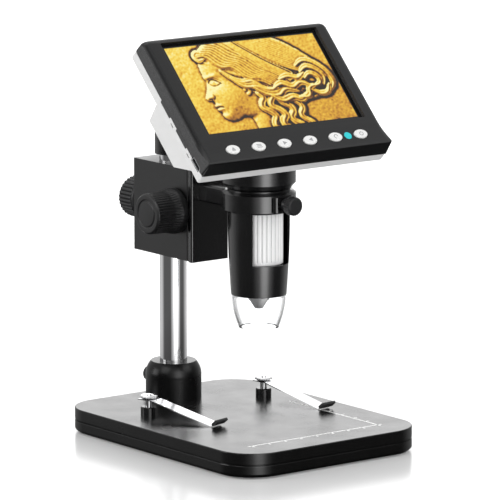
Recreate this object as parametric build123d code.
from build123d import *
import os
from math import atan2, cos, degrees, pi, radians, sin, tan

# Bench-top digital microscope: a flat stage base with a column, a clamp block with a
# rack-and-pinion focus slide, and a camera barrel that carries a tilted LCD head.
# Millimetres. The origin is the centre of the base tray's flat underside, +Z is up,
# the operator sits at -Y and +X is to the right. Every piece is built where it lies.

# ---- driving dimensions -------------------------------------------------------------

# Base
BASE_W, BASE_D = 118.0, 157.0
BASE_TOP = 12.5
BASE_CORNER_R = 20.0
BASE_EDGE_R = 0.4
BASE_WALL = 2.6
TRAY_TOP = 6.0
GROOVE = 0.5
GROOVE_DEPTH = 0.9
TRAY_FLOOR = 2.4
COVER_SKIN = 2.6
FOOT_R, FOOT_T, FOOT_PROUD = 6.0, 1.6, 0.8
FOOT_X, FOOT_Y = 43.0, 57.0
BASE_SCREW_X, BASE_SCREW_Y = 49.0, 68.5
BALLAST_W, BALLAST_D, BALLAST_T = 88.0, 138.0, 3.0

# Column
COL_Y = 58.5
POLE_R, POLE_BORE_R, POLE_TOP = 7.1, 5.6, 149.0
RUN_FIT = 0.06
COLLAR_R, COLLAR_SHOULDER_Z, COLLAR_TOP_R, COLLAR_TOP = 14.6, 24.0, 11.8, 32.0
COLLAR_DOME = (13.9, 28.6)
COLLAR_SCREW_PCR = 10.9
COLLAR_KNOB_Z, COLLAR_KNOB_R = 21.5, 4.1
CAP_R, CAP_Z0, CAP_Z1 = 9.5, 141.5, 154.0

# Clamp block that rides on the column, and its focus slide
BLOCK_HW = 10.5
BLOCK_Y0, BLOCK_Y1 = 32.3, 78.9
BLOCK_Z0, BLOCK_Z1 = 89.3, 137.5
PLATE_Y0, PLATE_Y1 = 26.7, 31.9
PLATE_CORNER_R = 3.5
DOVE_NECK_HW, DOVE_TAIL_HW, DOVE_Y1 = 5.0, 6.4, 34.4
DOVE_GAP = 0.2
PINION_Y, PINION_Z = 41.4, 114.7
GEAR_M, PINION_TEETH, ADD_F, DED_F = 0.8, 14, 0.8, 1.05
PRESSURE = radians(20)
BACKLASH = 0.10
PINION_W = 8.0
SHAFT_R = 2.0
BUSH_R = 6.9
FOCUS_KNOB_R0, FOCUS_KNOB_R1, FOCUS_KNOB_X0, FOCUS_KNOB_X1 = 11.9, 10.6, 11.0, 30.0
CLAMP_Z, CLAMP_SCREW_R = 114.6, 2.5
CLAMP_KNOB_R, CLAMP_KNOB_Y0, CLAMP_KNOB_Y1 = 10.9, 79.6, 92.6
CLAMP_KNOB_RIBS = 32

# Arm and split ring that hold the barrel
AX_Y = -14.1
RING_R, RING_Z0, RING_Z1 = 19.0, 122.0, 132.4
ARM_HW, ARM_Z0, ARM_Z1 = 7.0, 121.0, 130.6
BOSS_HW, BOSS_Y = 6.0, -35.4
RING_SCREW_Z, RING_SCREW_R = 127.2, 2.0
RING_KNOB_R, RING_KNOB_Y0, RING_KNOB_Y1 = 4.8, -39.4, -44.6

# Barrel
BARREL_R, BARREL_BORE_R, BARREL_POCKET_R = 15.8, 13.3, 14.6
BARREL_Z0, BARREL_Z1 = 78.3, 139.0
BARREL_TIP_R = 14.25
WINDOW_Z0, WINDOW_Z1, WINDOW_CHORD = 94.6, 121.4, 9.3
WHEEL_R, WHEEL_Z0, WHEEL_Z1 = 12.4, 94.0, 121.2
WHEEL_RIBS, WHEEL_RIM = 30, 1.9
LENS_TUBE_R, LENS_TUBE_Z0, LENS_TUBE_Z1 = 8.4, 84.0, 118.5
NOSE_R, NOSE_TIP_R, NOSE_Z, NOSE_TIP_Z = 6.1, 2.1, 77.2, 71.0
SHROUD_R0, SHROUD_R1, SHROUD_Z0, SHROUD_WALL = 14.2, 10.4, 61.2, 1.4
SHROUD_BULGE = (13.1, 69.5)
LED_RING_R, LED_COUNT = 10.6, 8

# Neck between the barrel and the head
NECK_R, NECK_ROOT_R, NECK_Z0, NECK_Z1 = 18.9, 16.2, 133.0, 136.3

# Head: local x is +X, local y runs up the screen, local z is the screen's normal
TILT = 45.9
SCREEN_Y, SCREEN_Z = -16.2, 186.8
FRONT_N, SEAM_N, BACK_N, HUMP_N = 2.2, -5.5, -11.5, -26.2
# The display sits at x = 0; the case around it is wider on the left, by twice CASE_X
CASE_X, SEAM_HW, SEAM_U0, SEAM_U1 = -1.15, 58.75, -47.8, 32.2
EDGE_HW, EDGE_N, SHOULDER_W = 58.45, 0.6, 3.0
CURL_U, LIP_U, LIP_N = -32.0, -45.6, 3.3
TOP_CORNER_R, LOW_CORNER_R = 2.5, 1.2
SHELL_WALL = 2.0
SEAM_GAP, BACK_BEVEL = 0.15, 1.0
HUMP_HW, HUMP_U1, HUMP_U0 = 55.0, 5.0, -26.5
WINDOW_HW, WINDOW_HH = 49.9, 29.0
GLASS_LAP_X, GLASS_LAP_U = 1.3, 1.1
BUTTON_U, BUTTON_PITCH, BUTTON_A, BUTTON_B = -39.4, 16.3, 4.1, 2.75
BUTTON_GAP = 0.25
BUTTON_TOP_N = 3.4
STATUS_LED_X, STATUS_LED_R = 32.6, 2.2
SHELL_SCREWS = ((55.0, 28.0), (49.0, -43.4))
# Left side of the seam: bezel tongues and snap windows (from u, to u), and the USB port
TONGUES = ((0.0, -10.5), (-18.0, -29.5))
TONGUE_DEPTH, TONGUE_GAP = 1.3, 0.12
SNAP_U, SNAP_N, SNAP_LEN, SNAP_H = (-14.3, -33.0), -7.6, 2.8, 0.8
USB_U, USB_N, USB_W, USB_H = -40.0, -5.6, 7.6, 2.5
# Right side: the memory card lies with its edge in a slot at the seam
CARD_U, CARD_N, CARD_L, CARD_W, CARD_T = -5.3, -6.5, 15.0, 11.0, 0.8
CARD_EDGE = CASE_X + SEAM_HW - 0.3
BOARD_N = -7.9

# Stage clips: (side, post x, swing angle in degrees from straight ahead, towards +X)
CLIP_X, CLIP_Y = 37.4, 30.0
CLIP_SIDES = (("left", -CLIP_X, 14.2), ("right", CLIP_X, 6.8))
CLIP_POST_R, CLIP_POST_TOP = 4.1, 17.0
CLIP_STUD_R, CLIP_THREAD_R, CLIP_SEAT = 1.8, 1.25, 20.6
CLIP_W, CLIP_T, CLIP_REACH = 8.0, 0.5, 44.0
NUT_R, NUT_T, NUT_RIBS = 4.6, 1.7, 20

HEAD = Plane(
    origin=(0, SCREEN_Y, SCREEN_Z),
    x_dir=(1, 0, 0),
    z_dir=(0, -sin(radians(TILT)), cos(radians(TILT))),
)


# ---- helpers ------------------------------------------------------------------------

def save(name, shape):
    """Write one node's solids to parts/NAME.step."""
    export_step(shape, os.path.join("parts", name + ".step"))


def rod(radius, z0, z1, x=0.0, y=0.0):
    """A round bar along Z between two heights."""
    return Pos(x, y, (z0 + z1) / 2) * Cylinder(radius, z1 - z0)


def along_y(shape, y, z, x=0.0):
    """Turn a shape built on +Z so that it points along +Y from the given place."""
    return Pos(x, y, z) * Rot(-90, 0, 0) * shape


def along_x(shape, x, y, z):
    """Turn a shape built on +Z so that it points along +X from the given place."""
    return Pos(x, y, z) * Rot(0, 90, 0) * shape


def rounded_slab(width, depth, radius, z0, z1):
    """A rounded rectangle centred on the Z axis between two heights."""
    outline = RectangleRounded(width, depth, radius)
    return Pos(0, 0, z0) * extrude(outline, amount=z1 - z0)


def turned(points):
    """Revolve a closed (radius, z) outline about the Z axis."""
    outline = make_face(Polyline(*[(r, 0, z) for r, z in points], close=True))
    return revolve(outline, axis=Axis.Z)


def knurl(body, radius, z0, z1, count, groove_r):
    """Cut evenly spaced half-round grooves down the side of a turned body."""
    groove = rod(groove_r, z0, z1, x=radius)
    return body - [Rot(0, 0, 360 * i / count) * groove for i in range(count)]


# ---- base ---------------------------------------------------------------------------

def corner_places(x, y):
    """The four mirrored places of a foot or a screw."""
    return [(sx * x, sy * y) for sx in (-1, 1) for sy in (-1, 1)]


def base_cover():
    """Glossy upper shell of the base, open underneath."""
    z0 = TRAY_TOP + GROOVE
    shell = rounded_slab(BASE_W, BASE_D, BASE_CORNER_R, z0, BASE_TOP)
    shell = fillet(shell.edges().group_by(Axis.Z)[-1], BASE_EDGE_R)
    hollow = rounded_slab(
        BASE_W - 2 * BASE_WALL, BASE_D - 2 * BASE_WALL, BASE_CORNER_R - BASE_WALL,
        z0 - 1, BASE_TOP - COVER_SKIN,
    )
    shell -= hollow
    for x, y in corner_places(BASE_SCREW_X, BASE_SCREW_Y):
        shell += rod(4.0, z0, BASE_TOP - COVER_SKIN, x, y)
        shell -= rod(1.3, z0, BASE_TOP - 1.5, x, y)
    for x, y in collar_screw_places():
        shell -= rod(1.6, BASE_TOP - COVER_SKIN, BASE_TOP, x, y)
    for side, x, swing in CLIP_SIDES:
        shell -= rod(1.5, BASE_TOP - COVER_SKIN, BASE_TOP, x, CLIP_Y)
    return shell


def base_tray():
    """Lower shell of the base, with a locating lip in the shadow groove."""
    tray = rounded_slab(BASE_W, BASE_D, BASE_CORNER_R, 0, TRAY_TOP)
    tray = chamfer(tray.edges().group_by(Axis.Z)[0], 1.5)
    inset = 2 * GROOVE_DEPTH
    tray += rounded_slab(
        BASE_W - inset, BASE_D - inset, BASE_CORNER_R - GROOVE_DEPTH,
        TRAY_TOP, TRAY_TOP + GROOVE,
    )
    tray -= rounded_slab(
        BASE_W - 2 * BASE_WALL, BASE_D - 2 * BASE_WALL, BASE_CORNER_R - BASE_WALL,
        TRAY_FLOOR, TRAY_TOP + 2,
    )
    for x in (-30, 0, 30):
        tray += Pos(x, 0, TRAY_FLOOR + 1.0) * Box(1.6, BASE_D - 40, 2.0)
    for x, y in corner_places(BASE_SCREW_X, BASE_SCREW_Y):
        tray += rod(4.0, TRAY_FLOOR, TRAY_TOP + GROOVE, x, y)
        tray -= rod(1.7, 0, TRAY_TOP + 1, x, y) + rod(3.1, 0, 2.6, x, y)
    for x, y in corner_places(FOOT_X, FOOT_Y):
        tray -= rod(FOOT_R, 0, FOOT_T - FOOT_PROUD, x, y)
    return tray


def base_feet():
    """Four rubber discs seated in the tray's round recesses."""
    feet = []
    for x, y in corner_places(FOOT_X, FOOT_Y):
        foot = rod(FOOT_R, -FOOT_PROUD, FOOT_T - FOOT_PROUD, x, y)
        feet.append(fillet(foot.edges().group_by(Axis.Z)[0], 0.5))
    return Compound(children=feet)


def base_screws():
    """Four pan-head screws that pull the two shells together from below."""
    screws = []
    for x, y in corner_places(BASE_SCREW_X, BASE_SCREW_Y):
        screws.append(rod(2.9, 0.6, 2.6, x, y) + rod(1.3, 2.6, BASE_TOP - 1.7, x, y))
    return Compound(children=screws)


def base_ballast():
    """Steel plate under the cover that keeps the stand from tipping."""
    top = BASE_TOP - COVER_SKIN
    plate = rounded_slab(BALLAST_W, BALLAST_D, 4, top - BALLAST_T, top)
    for x, y in collar_screw_places():
        plate -= rod(1.6, top - BALLAST_T, top, x, y)
    for side, x, swing in CLIP_SIDES:
        plate -= rod(3.0, top - BALLAST_T, top, x, CLIP_Y)
    return plate


# ---- column -------------------------------------------------------------------------

def collar_screw_places():
    """Three screw places around the column's foot."""
    angles = (90, 210, 330)
    r = COLLAR_SCREW_PCR
    return [(r * cos(radians(a)), COL_Y - r * sin(radians(a))) for a in angles]


def column_collar():
    """Domed socket on the base that holds the column."""
    bore = POLE_R + RUN_FIT
    outline = Polyline(
        (COLLAR_TOP_R, 0, COLLAR_TOP), (bore, 0, COLLAR_TOP), (bore, 0, BASE_TOP),
        (COLLAR_R, 0, BASE_TOP), (COLLAR_R, 0, COLLAR_SHOULDER_Z),
    )
    dome = ThreePointArc(
        (COLLAR_R, 0, COLLAR_SHOULDER_Z),
        (COLLAR_DOME[0], 0, COLLAR_DOME[1]),
        (COLLAR_TOP_R, 0, COLLAR_TOP),
    )
    collar = Pos(0, COL_Y, 0) * revolve(make_face([outline, dome]), axis=Axis.Z)
    collar -= along_y(rod(1.56, 0, COLLAR_R + 1), COL_Y, COLLAR_KNOB_Z)
    for x, y in collar_screw_places():
        collar -= rod(1.5, BASE_TOP, BASE_TOP + 6.5, x, y)
    return collar


def collar_screws():
    """Three screws that hold the collar from inside the base."""
    screws = []
    for x, y in collar_screw_places():
        head = rod(2.7, 4.9, BASE_TOP - COVER_SKIN - BALLAST_T, x, y)
        screws.append(head + rod(1.5, 6.9, BASE_TOP + 6.0, x, y))
    return Compound(children=screws)


def collar_knob():
    """Small ribbed thumb screw at the back of the collar."""
    gap = POLE_R + 0.12
    knob = turned([(0, 16.0), (COLLAR_KNOB_R - 0.5, 16.0), (COLLAR_KNOB_R, 16.6),
                   (COLLAR_KNOB_R, 21.4), (COLLAR_KNOB_R - 0.7, 22.1), (0, 22.1)])
    knob = knurl(knob, COLLAR_KNOB_R, 16.5, 21.5, 12, 0.55)
    return along_y(knob + rod(1.5, gap, 16.5), COL_Y, COLLAR_KNOB_Z)


def pole():
    """Polished tube of the column."""
    tube = rod(POLE_R, BASE_TOP, POLE_TOP, y=COL_Y)
    return tube - rod(POLE_BORE_R, BASE_TOP, POLE_TOP, y=COL_Y)


def pole_cap():
    """Black cap that closes the column and stops the block."""
    cap = rod(CAP_R, CAP_Z0, CAP_Z1)
    cap = fillet(cap.edges().group_by(Axis.Z)[-1], 2.5)
    cap -= rod(POLE_R, CAP_Z0, POLE_TOP)
    cap += rod(POLE_BORE_R, POLE_TOP - 6, POLE_TOP)
    return Pos(0, COL_Y, 0) * cap


# ---- clamp block and focus slide ----------------------------------------------------

def dovetail(gap, y0, y1):
    """Dovetail section on the XY plane, grown by a gap on the flanks and the tail."""
    flare = (DOVE_TAIL_HW - DOVE_NECK_HW) / (DOVE_Y1 - PLATE_Y1)
    half0 = DOVE_NECK_HW + gap + flare * (y0 - PLATE_Y1)
    half1 = DOVE_NECK_HW + gap + flare * (y1 - PLATE_Y1)
    return make_face(Polyline(
        (-half0, y0), (half0, y0), (half1, y1), (-half1, y1), close=True,
    ))


def block_housing():
    """Clamp block with the column bore, the dovetail way and the pinion chamber."""
    depth = BLOCK_Y1 - BLOCK_Y0
    height = BLOCK_Z1 - BLOCK_Z0
    centre = Pos(0, (BLOCK_Y0 + BLOCK_Y1) / 2, (BLOCK_Z0 + BLOCK_Z1) / 2)
    block = centre * Box(2 * BLOCK_HW, depth, height)
    block = fillet(block.edges().filter_by(Axis.Z), 0.8)
    block -= rod(POLE_R + RUN_FIT, BLOCK_Z0, BLOCK_Z1, y=COL_Y)
    way = dovetail(DOVE_GAP, BLOCK_Y0 - 1, DOVE_Y1 + DOVE_GAP)
    block -= Pos(0, 0, BLOCK_Z0) * extrude(way, amount=height)
    rack_clear = PINION_Y - GEAR_M * PINION_TEETH / 2 + GEAR_M + 0.6
    channel = rack_clear - DOVE_Y1
    block -= Pos(0, DOVE_Y1 + channel / 2, BLOCK_Z0 + height / 2) * Box(6.8, channel, height)
    block -= along_x(rod(BUSH_R, -BLOCK_HW, BLOCK_HW), 0, PINION_Y, PINION_Z)
    block -= along_y(rod(CLAMP_SCREW_R + 0.06, 0, BLOCK_Y1 - COL_Y), COL_Y, CLAMP_Z)
    return block


def pinion_bushes():
    """Two brass bushes that close the pinion chamber and carry the shaft."""
    inner = PINION_W / 2 + 0.5
    ring = rod(BUSH_R, inner, BLOCK_HW) - rod(SHAFT_R + 0.05, inner, BLOCK_HW)
    right = along_x(ring, 0, PINION_Y, PINION_Z)
    rack_front = PINION_Y - GEAR_M * PINION_TEETH / 2 + GEAR_M + 0.6
    way = dovetail(DOVE_GAP, BLOCK_Y0 - 1, DOVE_Y1 + DOVE_GAP)
    slot = Pos(0, 0, BLOCK_Z0) * extrude(way, amount=BLOCK_Z1 - BLOCK_Z0)
    slot += Pos(0, rack_front / 2, PINION_Z) * Box(6.8, rack_front, 40)
    right -= slot
    return Compound(children=[right, right.mirror(Plane.YZ)])


def clamp_pad():
    """Brass slug between the clamp screw and the column."""
    return along_y(rod(CLAMP_SCREW_R, POLE_R + 0.15, POLE_R + 2.0), COL_Y, CLAMP_Z)


def clamp_knob():
    """Large ribbed knob at the block's back, with its screw."""
    y0 = CLAMP_KNOB_Y0 - COL_Y
    y1 = CLAMP_KNOB_Y1 - COL_Y
    r = CLAMP_KNOB_R
    knob = turned([(0, y0), (r - 1.6, y0), (r - 0.6, y0 + 0.6), (r - 0.6, y0 + 1.5),
                   (r, y0 + 1.9), (r, y1 - 1.2), (r - 1.2, y1), (r - 3.5, y1),
                   (r - 4.2, y1 - 0.6), (0, y1 - 0.6)])
    knob = knurl(knob, r + 0.15, y0 + 1.9, y1 - 0.6, CLAMP_KNOB_RIBS, 0.6)
    screw = rod(CLAMP_SCREW_R, POLE_R + 2.2, y0 + 1)
    return along_y(knob + screw, COL_Y, CLAMP_Z)


def focus_slide():
    """Front plate of the slide with rounded corners and a dovetail tongue."""
    height = BLOCK_Z1 - BLOCK_Z0
    thick = PLATE_Y1 - PLATE_Y0
    plate = Pos(0, (PLATE_Y0 + PLATE_Y1) / 2, BLOCK_Z0 + height / 2)
    plate = plate * Box(2 * BLOCK_HW, thick, height)
    front = plate.edges().filter_by(Axis.Z).group_by(Axis.Y)[0]
    plate = fillet(front, PLATE_CORNER_R)
    tongue = dovetail(0, PLATE_Y1 - 0.5, DOVE_Y1)
    plate += Pos(0, 0, BLOCK_Z0) * extrude(tongue, amount=height)
    plate -= Pos(0, DOVE_Y1 - 0.6, BLOCK_Z0 + height / 2) * Box(6.0, 1.2, height)
    for z in (ARM_Z0 + 2.6, ARM_Z1 - 2.6):
        plate -= along_y(rod(1.5, 0, 9), PLATE_Y0 - 0.5, z)
        plate -= along_y(rod(2.6, 3.9, 9), PLATE_Y0 - 0.5, z)
    return plate


def focus_rack():
    """Straight rack in the tongue's groove; teeth face the pinion."""
    pitch = pi * GEAR_M
    y_pitch = PINION_Y - GEAR_M * PINION_TEETH / 2
    y_tip = y_pitch + ADD_F * GEAR_M
    y_root = y_pitch - DED_F * GEAR_M
    lean = tan(PRESSURE)
    half = pitch / 4 - BACKLASH / 2
    tip_half = half - ADD_F * GEAR_M * lean
    root_half = half + DED_F * GEAR_M * lean
    count = 17
    points = []
    for i in range(count):
        z = PINION_Z + (i - (count - 1) / 2) * pitch + pitch / 2
        points += [(y_root, z - root_half), (y_tip, z - tip_half)]
        points += [(y_tip, z + tip_half), (y_root, z + root_half)]
    z_low = PINION_Z - count * pitch / 2 + 0.2
    z_high = PINION_Z + (count + 1) * pitch / 2
    y_back = DOVE_Y1 - 1.2
    points = [(y_back, z_low), (y_root, z_low)] + points + [(y_root, z_high), (y_back, z_high)]
    section = make_face(Polyline(*[(-3.0, y, z) for y, z in points], close=True))
    return extrude(section, amount=6.0, dir=(1, 0, 0))


def pinion_gear():
    """Fourteen-tooth involute pinion."""
    r_pitch = GEAR_M * PINION_TEETH / 2
    r_base = r_pitch * cos(PRESSURE)
    r_tip = r_pitch + ADD_F * GEAR_M
    r_root = r_pitch - DED_F * GEAR_M
    half_pitch = (pi / 2 - BACKLASH / GEAR_M) / PINION_TEETH
    involute_pitch = tan(PRESSURE) - PRESSURE

    def flank(radius):
        """Half the tooth's angle at a radius."""
        if radius <= r_base:
            return half_pitch + involute_pitch
        angle = atan2((radius ** 2 - r_base ** 2) ** 0.5, r_base)
        return half_pitch + involute_pitch - (tan(angle) - angle)

    radii = [r_root, r_base, (r_base + r_pitch) / 2, r_pitch, (r_pitch + r_tip) / 2, r_tip]
    outline = []
    for i in range(PINION_TEETH):
        middle = pi + 2 * pi * i / PINION_TEETH
        outline += [(r * cos(middle - flank(r)), r * sin(middle - flank(r))) for r in radii]
        back = reversed(radii)
        outline += [(r * cos(middle + flank(r)), r * sin(middle + flank(r))) for r in back]
    section = make_face(Polyline(*outline, close=True))
    gear = Pos(0, 0, -PINION_W / 2) * extrude(section, amount=PINION_W)
    gear -= rod(SHAFT_R, -PINION_W, PINION_W)
    return Pos(0, PINION_Y, PINION_Z) * (Plane.YZ.location * gear)


def pinion_shaft():
    """Steel cross shaft that carries the pinion and both knobs."""
    bar = rod(SHAFT_R, -FOCUS_KNOB_X1 + 3, FOCUS_KNOB_X1 - 3)
    return along_x(bar, 0, PINION_Y, PINION_Z)


def focus_knob(side):
    """Flared, finely ribbed focus knob with a flat face."""
    x0, x1 = FOCUS_KNOB_X0, FOCUS_KNOB_X1
    r0, r1 = FOCUS_KNOB_R0, FOCUS_KNOB_R1
    knob = turned([(0, x0), (r0 - 0.8, x0), (r0, x0 + 0.8), (r0, x0 + 3.0),
                   (r1 + 0.1, x0 + 8.0), (r1, x1 - 0.9), (r1 - 0.9, x1), (7.6, x1),
                   (7.3, x1 - 0.4), (6.6, x1 - 0.4), (6.3, x1), (0, x1)])
    knob = knurl(knob, r1 + 0.25, x0 + 4.5, x1 - 0.7, 36, 0.45)
    knob -= rod(SHAFT_R, x0 - 1, FOCUS_KNOB_X1 - 3)
    knob = Rot(0, 90, 0) * knob
    if side < 0:
        knob = knob.mirror(Plane.YZ)
    return Pos(0, PINION_Y, PINION_Z) * knob


def holder_arm():
    """Arm with the ring that grips the barrel, and the thumb screw's boss."""
    ring = turned([
        (BARREL_R + RUN_FIT, RING_Z0), (RING_R - 0.6, RING_Z0), (RING_R, RING_Z0 + 0.6),
        (RING_R, RING_Z1 - 1.3), (RING_R - 1.9, RING_Z1), (BARREL_R + RUN_FIT, RING_Z1),
    ])
    arm = Pos(0, AX_Y, 0) * ring
    mid_z = (ARM_Z0 + ARM_Z1) / 2
    y_root = AX_Y + BARREL_R + 1.2
    beam = Pos(0, (PLATE_Y0 + y_root) / 2, mid_z)
    beam = beam * Box(2 * ARM_HW, PLATE_Y0 - y_root, ARM_Z1 - ARM_Z0)
    beam = fillet(beam.edges().filter_by(Axis.Y), 1.5)
    boss_depth = AX_Y - BARREL_R - 1.0 - BOSS_Y
    boss = Pos(0, BOSS_Y + boss_depth / 2, (RING_Z0 + RING_Z1) / 2 - 0.3)
    boss = boss * Box(2 * BOSS_HW, boss_depth, RING_Z1 - RING_Z0 - 2.6)
    boss = fillet(boss.edges().filter_by(Axis.Z).group_by(Axis.Y)[0], 2.2)
    arm += [beam, boss]
    arm -= rod(BARREL_R + RUN_FIT, ARM_Z0 - 1, RING_Z1 + 1, y=AX_Y)
    arm -= along_y(rod(RING_SCREW_R + 0.06, 0, 9), BOSS_Y - 1, RING_SCREW_Z)
    for z in (ARM_Z0 + 2.6, ARM_Z1 - 2.6):
        arm -= along_y(rod(1.5, 0, 8.2), PLATE_Y0 - 8, z)
    return arm


def arm_screws():
    """Two screws through the slide plate into the arm."""
    screws = []
    for z in (ARM_Z0 + 2.6, ARM_Z1 - 2.6):
        screw = rod(1.5, -7.5, 3.4) + rod(2.5, 3.4, 6.2)
        screws.append(along_y(screw, PLATE_Y0, z))
    return Compound(children=screws)


def ring_screw():
    """Thumb screw that locks the barrel in the ring."""
    tip = -(AX_Y - BARREL_R) + 0.12
    k0, k1 = -RING_KNOB_Y0, -RING_KNOB_Y1
    r = RING_KNOB_R
    body = turned([(0, tip), (RING_SCREW_R, tip), (RING_SCREW_R, -BOSS_Y + 0.3),
                   (3.0, -BOSS_Y + 0.5), (2.6, k0 - 0.8), (r - 0.7, k0), (r, k0 + 0.7),
                   (r, k1 - 0.9), (r - 0.9, k1), (0, k1)])
    body = knurl(body, r + 0.1, k0 + 0.5, k1 - 0.5, 16, 0.5)
    return Pos(0, 0, RING_SCREW_Z) * Rot(90, 0, 0) * body


# ---- barrel -------------------------------------------------------------------------

def barrel_tube():
    """Camera barrel with the open front window for the focus wheel."""
    z0, z1 = BARREL_Z0, BARREL_Z1
    bore = BARREL_BORE_R
    side = ThreePointArc(
        (BARREL_TIP_R, 0, z0), (BARREL_R - 0.62, 0, z0 + 15), (BARREL_R, 0, z0 + 37),
    )
    rest = Polyline(
        (BARREL_R, 0, z0 + 37), (BARREL_R, 0, z1), (bore, 0, z1), (bore, 0, WHEEL_Z1 + 0.25),
        (BARREL_POCKET_R, 0, WHEEL_Z1 + 0.25), (BARREL_POCKET_R, 0, WHEEL_Z0 - 0.3),
        (9.4, 0, WHEEL_Z0 - 0.3), (9.4, 0, WHEEL_Z0 - 2.1), (bore, 0, WHEEL_Z0 - 2.1),
        (bore, 0, z0), (BARREL_TIP_R, 0, z0),
    )
    tube = revolve(make_face([side, rest]), axis=Axis.Z)
    height = WINDOW_Z1 - WINDOW_Z0
    depth = BARREL_R + 2 - WINDOW_CHORD
    cutter = Pos(0, -WINDOW_CHORD - depth / 2, (WINDOW_Z0 + WINDOW_Z1) / 2)
    tube -= cutter * Box(2 * BARREL_R + 4, depth, height)
    return Pos(0, AX_Y, 0) * tube


def focus_wheel():
    """Ribbed wheel inside the window that drives the lens tube."""
    r = WHEEL_R
    z0, z1 = WHEEL_Z0, WHEEL_Z1
    wheel = turned([(LENS_TUBE_R + 0.06, z0), (r - 0.6, z0), (r, z0 + 0.6),
                    (r, z1 - 0.6), (r - 0.6, z1), (LENS_TUBE_R + 0.06, z1)])
    wheel = knurl(wheel, r + 0.2, z0 + WHEEL_RIM, z1 + 1, WHEEL_RIBS, 0.62)
    return Pos(0, AX_Y, 0) * wheel


def wheel_retainer():
    """Snap ring above the wheel."""
    ring = rod(BARREL_BORE_R, WHEEL_Z1 + 0.3, WHEEL_Z1 + 1.7)
    return Pos(0, AX_Y, 0) * (ring - rod(9.4, WHEEL_Z1, WHEEL_Z1 + 2))


def lens_tube():
    """Keyed lens tube with the conical nose between the lamps."""
    r = LENS_TUBE_R
    tube = turned([
        (1.6, NOSE_TIP_Z), (NOSE_TIP_R, NOSE_TIP_Z), (NOSE_R, NOSE_Z),
        (r, LENS_TUBE_Z0 - 1), (r, LENS_TUBE_Z1), (6.4, LENS_TUBE_Z1),
        (6.4, LENS_TUBE_Z0 + 1), (4.6, LENS_TUBE_Z0 + 1), (4.6, NOSE_Z + 1.5),
        (1.6, NOSE_TIP_Z + 1.8),
    ])
    return Pos(0, AX_Y, 0) * tube


def objective_lens():
    """Two glass elements: the big one behind the nose and the tip window."""
    z = LENS_TUBE_Z0 + 1
    curve_r = 14.4
    big = rod(6.4, z, z + 4) & (Pos(0, 0, z + 3.1 - curve_r) * Sphere(curve_r))
    tip = rod(1.6, NOSE_TIP_Z + 0.3, NOSE_TIP_Z + 1.2)
    return Compound(children=[Pos(0, AX_Y, 0) * big, Pos(0, AX_Y, 0) * tip])


def sensor_board():
    """Round camera board with the image sensor facing down the barrel."""
    z = WHEEL_Z1 + 6.5
    board = rod(BARREL_BORE_R - 0.1, z, z + 1.4)
    board += Pos(0, 0, z - 0.7) * Box(8.5, 8.5, 1.4)
    board += Pos(0, 6.5, z + 2.4) * Box(9.0, 4.0, 2.0)
    return Pos(0, AX_Y, 0) * board


def lamp_board():
    """Ring board that carries the lamps around the nose."""
    z = BARREL_Z0 + 1.3
    ring = rod(BARREL_BORE_R - 0.1, z, z + 1.2) - rod(9.2, z, z + 1.2)
    return Pos(0, AX_Y, 0) * ring


def lamps():
    """Eight white LEDs under the ring board."""
    z = BARREL_Z0 + 1.3
    chip = Pos(LED_RING_R, 0, z - 0.45) * Box(2.1, 2.8, 0.9)
    chips = [Pos(0, AX_Y, 0) * Rot(0, 0, 360 * (i + 0.5) / LED_COUNT) * chip
             for i in range(LED_COUNT)]
    return Compound(children=chips)


def light_shroud():
    """Clear skirt under the barrel, bowed inwards towards its open end."""
    z1 = BARREL_Z0
    plug_r, neck_z = BARREL_BORE_R - 0.05, z1 - 1.2
    bow_r, bow_z = SHROUD_BULGE
    inner_top = SHROUD_R0 - SHROUD_WALL - 0.1
    outside = ThreePointArc((SHROUD_R1, 0, SHROUD_Z0), (bow_r, 0, bow_z), (SHROUD_R0, 0, z1))
    plug = Polyline(
        (SHROUD_R0, 0, z1), (plug_r, 0, z1), (plug_r, 0, z1 + 1.2),
        (plug_r - SHROUD_WALL, 0, z1 + 1.2), (plug_r - SHROUD_WALL, 0, neck_z),
        (inner_top, 0, neck_z),
    )
    inside = ThreePointArc(
        (inner_top, 0, neck_z), (bow_r - SHROUD_WALL, 0, bow_z),
        (SHROUD_R1 - SHROUD_WALL, 0, SHROUD_Z0),
    )
    rim = Line((SHROUD_R1 - SHROUD_WALL, 0, SHROUD_Z0), (SHROUD_R1, 0, SHROUD_Z0))
    skirt = revolve(make_face([outside, plug, inside, rim]), axis=Axis.Z)
    return Pos(0, AX_Y, 0) * skirt


# ---- head ---------------------------------------------------------------------------

def up_screen(points):
    """A closed face from (u, n) points, on the head's side plane at x = 0."""
    return make_face(Polyline(*[(0, u, n) for u, n in points], close=True))


def head_outline(half_w, u0, u1, radius, n):
    """Rounded rectangle across the head at a height along the normal."""
    place = Pos(0, (u0 + u1) / 2, n)
    return place * RectangleRounded(2 * half_w, u1 - u0, radius)


def shell_outline(inset, n):
    """The seam's outline, smaller by an inset: crisp low corners and softer top ones."""
    outline = Rectangle(2 * (SEAM_HW - inset), SEAM_U1 - SEAM_U0 - 2 * inset)
    top = outline.vertices().group_by(Axis.Y)[-1]
    outline = fillet(top, TOP_CORNER_R)
    outline = fillet(outline.vertices().group_by(Axis.Y)[0], LOW_CORNER_R)
    return Pos(0, (SEAM_U0 + SEAM_U1) / 2, n) * outline


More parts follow.
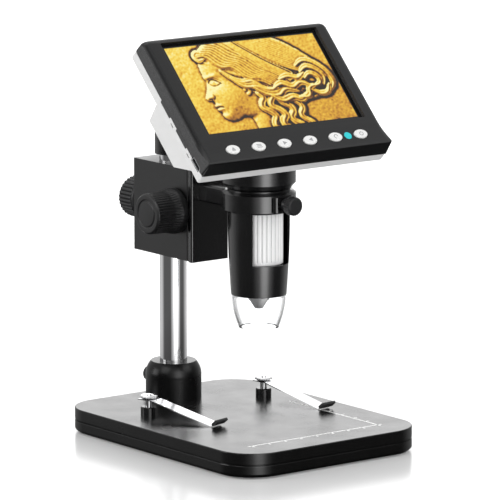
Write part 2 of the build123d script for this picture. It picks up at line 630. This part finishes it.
def hump_section(inset):
    """Side outline of the electronics hump; its underside is level when in use."""
    t = radians(TILT)
    run = (BACK_N - HUMP_N) / sin(t)
    low_u = HUMP_U0 - run * cos(t)
    if inset == 0:
        return [(HUMP_U1, BACK_N + 1.5), (HUMP_U1 - 3.4, HUMP_N), (HUMP_U0, HUMP_N),
                (low_u, BACK_N), (low_u, BACK_N + 1.5)]
    rise_u, rise_n = inset * sin(t), inset * cos(t)
    step = (HUMP_N + inset) - (HUMP_N + rise_n)
    floor_u = HUMP_U0 + rise_u - step / tan(t)
    top_n = BACK_N + inset + 0.5
    top_u = HUMP_U0 + rise_u - (top_n - HUMP_N - rise_n) / tan(t)
    return [(HUMP_U1 - inset, top_n), (HUMP_U1 - 3.4 - inset, HUMP_N + inset),
            (floor_u, HUMP_N + inset), (top_u, top_n)]


def hump_solid(inset, half_w):
    """The hump as a solid in the head's local frame."""
    section = up_screen(hump_section(inset))
    return Pos(-half_w, 0, 0) * extrude(section, amount=2 * half_w, dir=(1, 0, 0))


def shell_screw_places():
    """The four screw places of the head, as (x from the case's middle, u)."""
    return [(side * x, u) for side in (-1, 1) for x, u in SHELL_SCREWS]


def outer_hump():
    """The hump's outside with its rounded back and side edges."""
    hump = hump_solid(0, HUMP_HW)
    back = hump.faces().sort_by(Axis.Z)[0]
    return fillet(back.edges(), 1.3)


def tongue(u0, u1, gap):
    """Rounded tongue of the bezel's left wall that reaches into the rear shell."""
    length = u0 - u1 + 2 * gap
    height = TONGUE_DEPTH + gap + 1
    blank = Box(SHELL_WALL + 2 * gap, length, height)
    blank = fillet(blank.edges().filter_by(Axis.X).group_by(Axis.Z)[0], 0.7)
    x = -SEAM_HW + SHELL_WALL / 2
    return Pos(x, (u0 + u1) / 2, SEAM_N - TONGUE_DEPTH - gap + height / 2) * blank


def usb_opening():
    """Cut through both walls at the seam for the USB socket."""
    cut = Box(8, USB_W + 0.5, USB_H + 0.5)
    cut = fillet(cut.edges().filter_by(Axis.X), 0.6)
    return Pos(-SEAM_HW, USB_U, USB_N) * cut


def rear_shell():
    """White rear shell: a shallow tray with the electronics hump."""
    top = SEAM_N - SEAM_GAP
    rim_n = BACK_N + BACK_BEVEL
    slab = extrude(shell_outline(0, rim_n), amount=top - rim_n)
    slab += loft([shell_outline(BACK_BEVEL, BACK_N), shell_outline(0, rim_n)])
    shell = slab + outer_hump()
    w = SHELL_WALL
    tray = head_outline(SEAM_HW - w, SEAM_U0 + w, SEAM_U1 - w, 3, BACK_N + w)
    shell -= extrude(tray, amount=10)
    shell -= hump_solid(w, HUMP_HW - w)
    for x, u in shell_screw_places():
        shell += rod(2.6, BACK_N + w - 0.5, top, x, u)
        shell -= rod(1.4, BACK_N, top, x, u) + rod(2.5, BACK_N - 1, BACK_N + 1.7, x, u)
    for u0, u1 in TONGUES:
        shell -= tongue(u0, u1, TONGUE_GAP)
    for u in SNAP_U:
        shell -= Pos(-SEAM_HW, u, SNAP_N) * Box(2 * w + 1, SNAP_LEN, SNAP_H)
    shell -= usb_opening()
    slot_low, slot_half = CARD_N - CARD_T / 2 - 0.3, CARD_W / 2 + 0.4
    slot = Pos(SEAM_HW, CARD_U, (slot_low + SEAM_N) / 2)
    shell -= slot * Box(2 * w + 2, 2 * slot_half, SEAM_N - slot_low)
    shell = HEAD.location * Pos(CASE_X, 0, 0) * shell
    return shell - rod(11.0, 140, 162, y=AX_Y)


def bezel_section(u, inset, edge_n, middle_n):
    """Cross-section of the bezel at a height up the screen, with rounded shoulders."""
    half = EDGE_HW - inset
    rise = middle_n - edge_n
    side = [(SEAM_HW - inset, SEAM_N), (half, edge_n), (half - 0.2 * SHOULDER_W, edge_n + 0.43 * rise),
            (half - 0.53 * SHOULDER_W, edge_n + 0.81 * rise), (half - SHOULDER_W, middle_n)]
    outline = side + [(-x, n) for x, n in reversed(side)]
    return make_face(Polyline(*[(x, u, n) for x, n in outline], close=True))


def bezel_body():
    """The bezel's outside: a loft up the screen from the rolled lip to the top edge."""
    low = SEAM_N + 0.2
    sections = [bezel_section(SEAM_U0, 0, low, low)]
    for back, inset, drop in ((1.2, 0.5, 1.3), (0.8, 0.2, 0.4)):
        n = LIP_N - drop
        sections.append(bezel_section(LIP_U - back, inset, n - 0.1, n))
    steps = 6
    for i in range(steps + 1):
        t = 1 - i / steps
        u = CURL_U + (LIP_U - CURL_U) * t
        edge_n = EDGE_N + (LIP_N - 0.1 - EDGE_N) * t ** 1.6
        sections.append(bezel_section(u, 0, edge_n, FRONT_N + (LIP_N - FRONT_N) * t ** 2))
    for back, inset, drop in ((3.4, 0, 0), (1.6, 0.15, 0.4), (0.5, 0.8, 1.0), (0, 2.2, 1.6)):
        sections.append(bezel_section(SEAM_U1 - back, inset, EDGE_N - drop, FRONT_N - drop))
    return loft(sections, ruled=True)


def front_bezel():
    """Black front frame with the recessed window and the rolled lip at the chin."""
    body = bezel_body()
    pocket = head_outline(SEAM_HW - 2.2, SEAM_U0 + 2.6, SEAM_U1 - 1.6, 2, SEAM_N - 1)
    body -= extrude(pocket, amount=1 - SEAM_N)
    for x, u in shell_screw_places():
        body += rod(2.4, SEAM_N, 0.5, x, u)
        body -= rod(1.2, SEAM_N - 1, -0.8, x, u)
    for u0, u1 in TONGUES:
        body += tongue(u0, u1, 0)
    body -= usb_opening()
    body = Pos(CASE_X, 0, 0) * body
    window = head_outline(WINDOW_HW, -WINDOW_HH, WINDOW_HH, 0.8, -2)
    body -= extrude(window, amount=10)
    a, b = BUTTON_A + BUTTON_GAP, BUTTON_B + BUTTON_GAP
    hole = extrude(Ellipse(a, b), amount=12)
    for x in button_places():
        body -= Pos(x, BUTTON_U, -2) * hole
    body -= rod(STATUS_LED_R, -1, 8, STATUS_LED_X, BUTTON_U)
    return HEAD.location * body


def button_places():
    """The x places of the six keys."""
    return [(i - 2.5) * BUTTON_PITCH for i in range(6)]


def menu_button(x):
    """One oval key cap with its hidden flange."""
    cap = extrude(Ellipse(BUTTON_A, BUTTON_B), amount=BUTTON_TOP_N + 1.2)
    cap = fillet(cap.edges().group_by(Axis.Z)[-1], 0.7)
    flange = extrude(Ellipse(BUTTON_A + 0.9, BUTTON_B + 0.9), amount=1.15)
    key = Pos(x, BUTTON_U, -1.2) * (cap + flange)
    return HEAD.location * key


def status_light():
    """Short light pipe of the status lamp."""
    pipe = rod(STATUS_LED_R, -1.0, 2.9, STATUS_LED_X, BUTTON_U)
    return HEAD.location * fillet(pipe.edges().group_by(Axis.Z)[-1], 0.4)


def display_glass():
    """Glass face of the display, just behind the window."""
    sheet = Pos(0, 0, -0.5) * Box(2 * (WINDOW_HW + GLASS_LAP_X), 2 * (WINDOW_HH + GLASS_LAP_U), 1.0)
    return HEAD.location * sheet


def lcd_module():
    """Display module in its thin metal frame."""
    frame = Pos(-0.75, -1.9, -2.5) * Box(103.5, 62.6, 3.0)
    frame += Pos(20, -1.9, -4.3) * Box(40.0, 20.0, 0.6)
    return HEAD.location * frame


def main_board():
    """Main circuit board with its packages, behind the display, and a leg for the USB."""
    thick = 1.5
    board = Pos(CASE_X, -5.9, BOARD_N - thick / 2) * Box(112.0, 61.6, thick)
    board += Pos(-55.2, USB_U, BOARD_N - thick / 2) * Box(3.8, 8.4, thick)
    for x, u, w, h in ((8, 4, 14, 14), (-18, -6, 11, 8), (30, 12, 9, 9), (-34, -16, 7, 12)):
        board += Pos(x, u, BOARD_N + 0.5) * Box(w, h, 1.0)
    return HEAD.location * board


def key_board():
    """Narrow board under the keys, with one tact switch for each."""
    board = Pos(0, BUTTON_U - 0.6, -3.9) * Box(90.0, 9.2, 1.2)
    for x in button_places():
        board += Pos(x, BUTTON_U, -2.9) * Box(4.4, 4.4, 0.8)
        board += rod(1.0, -2.6, -2.0, x, BUTTON_U)
    return HEAD.location * board


def usb_port():
    """Micro USB socket in the seam, on the board's leg, with its contact tongue."""
    x0 = CASE_X - SEAM_HW + 0.4
    x1 = x0 + 5.5
    base_n = USB_N - USB_H / 2
    body = Pos((x0 + x1) / 2, USB_U, USB_N) * Box(x1 - x0, USB_W, USB_H)
    body += Pos(x1 - 1.7, USB_U, (BOARD_N + base_n) / 2) * Box(3.4, USB_W, base_n - BOARD_N)
    body -= Pos(x0, USB_U, USB_N) * Box(9.4, USB_W - 0.7, USB_H - 0.7)
    body += Pos((x0 + x1) / 2 + 0.4, USB_U, USB_N + 0.35) * Box(x1 - x0 - 0.8, 5.0, 0.6)
    return HEAD.location * body


def card_socket():
    """Memory-card socket on the main board, open towards the slot."""
    x1 = CASE_X + SEAM_HW - SHELL_WALL - 0.8
    x0 = x1 - 14.0
    low, high = BOARD_N, SEAM_N - 0.1
    case = Pos((x0 + x1) / 2, CARD_U, (low + high) / 2) * Box(x1 - x0, 14.4, high - low)
    bay = Box(x1 - x0, CARD_W + 0.3, CARD_T + 0.2)
    case -= Pos((x0 + x1) / 2 + 1.4, CARD_U, CARD_N) * bay
    return HEAD.location * case


def memory_card():
    """Micro SD card with the notch in one long edge and the finger ridge."""
    card = Pos(CARD_EDGE - CARD_L / 2, CARD_U, CARD_N) * Box(CARD_L, CARD_W, CARD_T)
    corner = card.edges().filter_by(Axis.Z).group_by(Axis.X)[0].sort_by(Axis.Y)[-1]
    card = chamfer(corner, 1.6)
    card -= Pos(CARD_EDGE - 8.6, CARD_U - CARD_W / 2, CARD_N) * Box(1.2, 1.4, CARD_T)
    return HEAD.location * card


def battery():
    """Lithium pouch cell in the hump."""
    cell = Pos(0, -11.0, -17.6) * Box(62.0, 21.0, 9.0)
    cell = fillet(cell.edges().filter_by(Axis.X), 1.5)
    return HEAD.location * cell


def shell_screws():
    """Four screws from the back into the bezel's bosses."""
    screws = []
    for x, u in shell_screw_places():
        screw = rod(2.3, BACK_N + 0.2, BACK_N + 1.7, x, u)
        screw += rod(1.2, BACK_N + 1.7, -1.6, x, u)
        screws.append(HEAD.location * Pos(CASE_X, 0, 0) * screw)
    return Compound(children=screws)


def neck_collar():
    """Black neck that joins the barrel's top to the level and sloped hump faces."""
    body = turned([
        (BARREL_R, NECK_Z0), (NECK_ROOT_R, NECK_Z0), (NECK_R, NECK_Z1), (NECK_R, 176.0),
        (11.0, 176.0), (11.0, BARREL_Z1), (BARREL_R, BARREL_Z1),
    ])
    body = Pos(0, AX_Y, 0) * body
    sloped = HEAD.location * (Pos(0, 0, HUMP_N + 30) * Box(200, 200, 60))
    level = SCREEN_Z + HUMP_U0 * sin(radians(TILT)) + HUMP_N * cos(radians(TILT))
    raised = Pos(0, 0, level + 30) * Box(200, 200, 60)
    return body - (sloped & raised)


# ---- stage clips --------------------------------------------------------------------

def clip_posts():
    """The two black pillars on the base."""
    posts = []
    for side, x, swing in CLIP_SIDES:
        post = rod(CLIP_POST_R, BASE_TOP, CLIP_POST_TOP, x, CLIP_Y)
        post = chamfer(post.edges().group_by(Axis.Z)[-1], 0.4)
        posts.append(post + rod(1.5, BASE_TOP - COVER_SKIN, BASE_TOP, x, CLIP_Y))
    return Compound(children=posts)


def clip_studs():
    """The two chrome shoulder studs between the pillars and the thumb nuts."""
    studs = []
    for side, x, swing in CLIP_SIDES:
        stud = rod(CLIP_STUD_R, CLIP_POST_TOP, CLIP_SEAT, x, CLIP_Y)
        studs.append(stud + rod(CLIP_THREAD_R, CLIP_SEAT, CLIP_SEAT + 2.9, x, CLIP_Y))
    return Compound(children=studs)


def clip_path():
    """Side line of the strip: flat at the stud, down to the stage, up at the tip."""
    z1 = CLIP_SEAT + 0.05 + CLIP_T / 2
    z0 = BASE_TOP + 0.2 + CLIP_T / 2
    end = (-CLIP_REACH - 3.6, z0 + 3.0)
    return [(3.9, z1), (-5.0, z1), (-CLIP_REACH, z0), end]


def clip_place(x, swing):
    """Where a clip built along -Y lies when it is swung."""
    return Pos(x, CLIP_Y, 0) * Rot(0, 0, swing)


def clip_strip(x, swing):
    """Sprung steel strip."""
    path = FilletPolyline(*[(0, y, z) for y, z in clip_path()], radius=1.2)
    side = Plane.YZ.location * trace(Plane.YZ.to_local_coords(path), line_width=CLIP_T)
    strip = Pos(-CLIP_W / 2, 0, 0) * extrude(side, amount=CLIP_W, dir=(1, 0, 0))
    strip -= rod(CLIP_THREAD_R + 0.1, CLIP_SEAT - 1, CLIP_SEAT + 2)
    return clip_place(x, swing) * strip


def clip_tip(x, swing):
    """Black rubber sleeve on the turned-up tip."""
    (y0, z0), (y1, z1) = clip_path()[2:]
    a, b = 0.3, 1.12
    start = (0, y0 + a * (y1 - y0), z0 + a * (z1 - z0))
    end = (0, y0 + b * (y1 - y0), z0 + b * (z1 - z0))
    angle = degrees(atan2(z1 - z0, -(y1 - y0)))
    length = ((end[1] - start[1]) ** 2 + (end[2] - start[2]) ** 2) ** 0.5
    middle = Pos(0, (start[1] + end[1]) / 2, (start[2] + end[2]) / 2) * Rot(-angle, 0, 0)
    sleeve = middle * fillet(Box(CLIP_W + 1.2, length, 1.5).edges().filter_by(Axis.X), 0.5)
    return clip_place(x, swing) * sleeve


def clip_nut(x):
    """Knurled thumb nut on the stud."""
    z0 = CLIP_SEAT + 0.05 + CLIP_T + 0.08
    z1 = z0 + NUT_T
    bore = CLIP_THREAD_R + 0.05
    nut = turned([(bore, z0), (NUT_R - 1.5, z0), (NUT_R, z0 + 0.7), (NUT_R, z1 - 0.4),
                  (NUT_R - 0.8, z1), (bore, z1)])
    nut = knurl(nut, NUT_R + 0.15, z0 + 0.2, z1 - 0.2, NUT_RIBS, 0.36)
    return Pos(x, CLIP_Y, 0) * nut


# ---- write every node ---------------------------------------------------------------

os.makedirs("parts", exist_ok=True)

save("base_cover", base_cover())
save("base_tray", base_tray())
save("base_feet", base_feet())
save("base_screws", base_screws())
save("base_ballast", base_ballast())
save("column_collar", column_collar())
save("collar_screws", collar_screws())
save("collar_knob", collar_knob())
save("pole", pole())
save("pole_cap", pole_cap())

save("block_housing", block_housing())
save("pinion_bushes", pinion_bushes())
save("clamp_pad", clamp_pad())
save("clamp_knob", clamp_knob())
save("focus_slide", focus_slide())
save("focus_rack", focus_rack())
save("pinion_gear", pinion_gear())
save("pinion_shaft", pinion_shaft())
save("focus_knob_left", focus_knob(-1))
save("focus_knob_right", focus_knob(1))
save("holder_arm", holder_arm())
save("arm_screws", arm_screws())
save("ring_screw", ring_screw())

save("barrel_tube", barrel_tube())
save("focus_wheel", focus_wheel())
save("wheel_retainer", wheel_retainer())
save("lens_tube", lens_tube())
save("objective_lens", objective_lens())
save("sensor_board", sensor_board())
save("lamp_board", lamp_board())
save("lamps", lamps())
save("light_shroud", light_shroud())

save("neck_collar", neck_collar())
save("rear_shell", rear_shell())
save("front_bezel", front_bezel())
save("display_glass", display_glass())
save("lcd_module", lcd_module())
save("main_board", main_board())
save("key_board", key_board())
save("usb_port", usb_port())
save("card_socket", card_socket())
save("memory_card", memory_card())
save("battery", battery())
save("shell_screws", shell_screws())
save("status_light", status_light())
for number, place in enumerate(button_places(), start=1):
    save(f"menu_button_{number}", menu_button(place))

save("clip_posts", clip_posts())
save("clip_studs", clip_studs())
for side_name, post_x, swing_deg in CLIP_SIDES:
    strip_shape = clip_strip(post_x, swing_deg)
    tip_shape = clip_tip(post_x, swing_deg) - strip_shape
    save(f"clip_strip_{side_name}", strip_shape)
    save(f"clip_tip_{side_name}", tip_shape)
    save(f"clip_nut_{side_name}", clip_nut(post_x))
